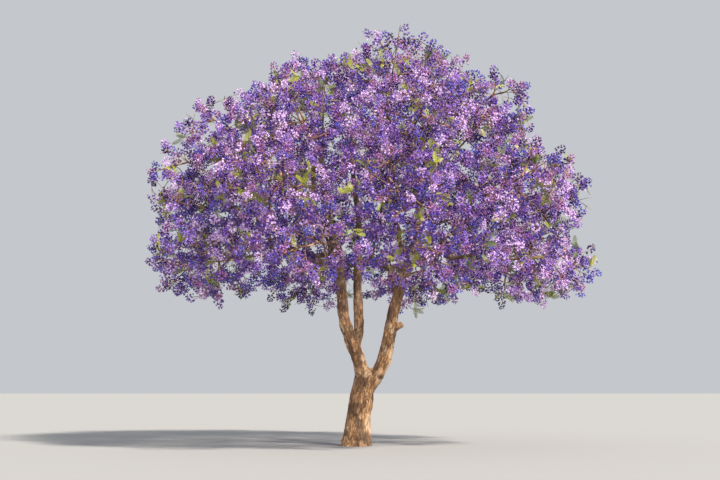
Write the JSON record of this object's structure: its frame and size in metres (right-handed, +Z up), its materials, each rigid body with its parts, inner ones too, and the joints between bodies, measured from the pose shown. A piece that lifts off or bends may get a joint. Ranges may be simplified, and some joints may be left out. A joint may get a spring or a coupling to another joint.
{
  "type": "jacaranda tree",
  "caption": "Flowering jacaranda: a leaning trunk that forks low, arching boughs, and a wide open crown of violet blossom sprays with sky between them.",
  "frame": {"origin": "centre of the flat cut under the trunk, at ground level: the mount named ground", "axes": "+Z up, +X to the right and +Y away from the viewer in the picture's view of the tree"},
  "size_m": [11.2862, 11.0189, 10.5182],
  "materials": {
    "bark": "rough grey-brown bark, warmer and more orange where it is lit, with dark upright fissures",
    "blossom": "soft matt violet-blue petals, paler and pinker at the tips of the sprays",
    "leaf": "fresh yellow-green ferny leaves, slightly glossy"
  },
  "bodies": {
    "root": {"trunk": "bark", "right_leader": "bark", "left_leader": "bark", "back_leader": "bark", "bough_low_1": "bark", "bough_low_2": "bark", "bough_low_3": "bark", "bough_low_4": "bark", "bough_low_5": "bark", "bough_low_6": "bark", "bough_low_7": "bark", "bough_low_8": "bark", "bough_middle_1": "bark", "bough_middle_2": "bark", "bough_middle_3": "bark", "bough_middle_4": "bark", "bough_middle_5": "bark", "bough_middle_6": "bark", "bough_middle_7": "bark", "bough_middle_8": "bark", "bough_middle_9": "bark", "bough_upper_1": "bark", "bough_upper_2": "bark", "bough_upper_3": "bark", "bough_upper_4": "bark", "bough_upper_5": "bark", "bough_upper_6": "bark", "bough_upper_7": "bark", "bough_top_4": "bark", "blossom_low_1": "blossom", "blossom_low_2": "blossom", "blossom_low_3": "blossom", "blossom_low_4": "blossom", "blossom_low_5": "blossom", "blossom_low_6": "blossom", "blossom_low_7": "blossom", "blossom_low_8": "blossom", "blossom_middle_1": "blossom", "blossom_middle_2": "blossom", "blossom_middle_3": "blossom", "blossom_middle_4": "blossom", "blossom_middle_5": "blossom", "blossom_middle_6": "blossom", "blossom_middle_7": "blossom", "blossom_middle_8": "blossom", "blossom_middle_9": "blossom", "blossom_upper_1": "blossom", "blossom_upper_2": "blossom", "blossom_upper_3": "blossom", "blossom_upper_4": "blossom", "blossom_upper_5": "blossom", "blossom_upper_6": "blossom", "blossom_upper_7": "blossom", "blossom_top_1": "blossom", "blossom_top_2": "blossom", "blossom_top_3": "blossom", "blossom_top_4": "blossom"}
  },
  "joints": []
}
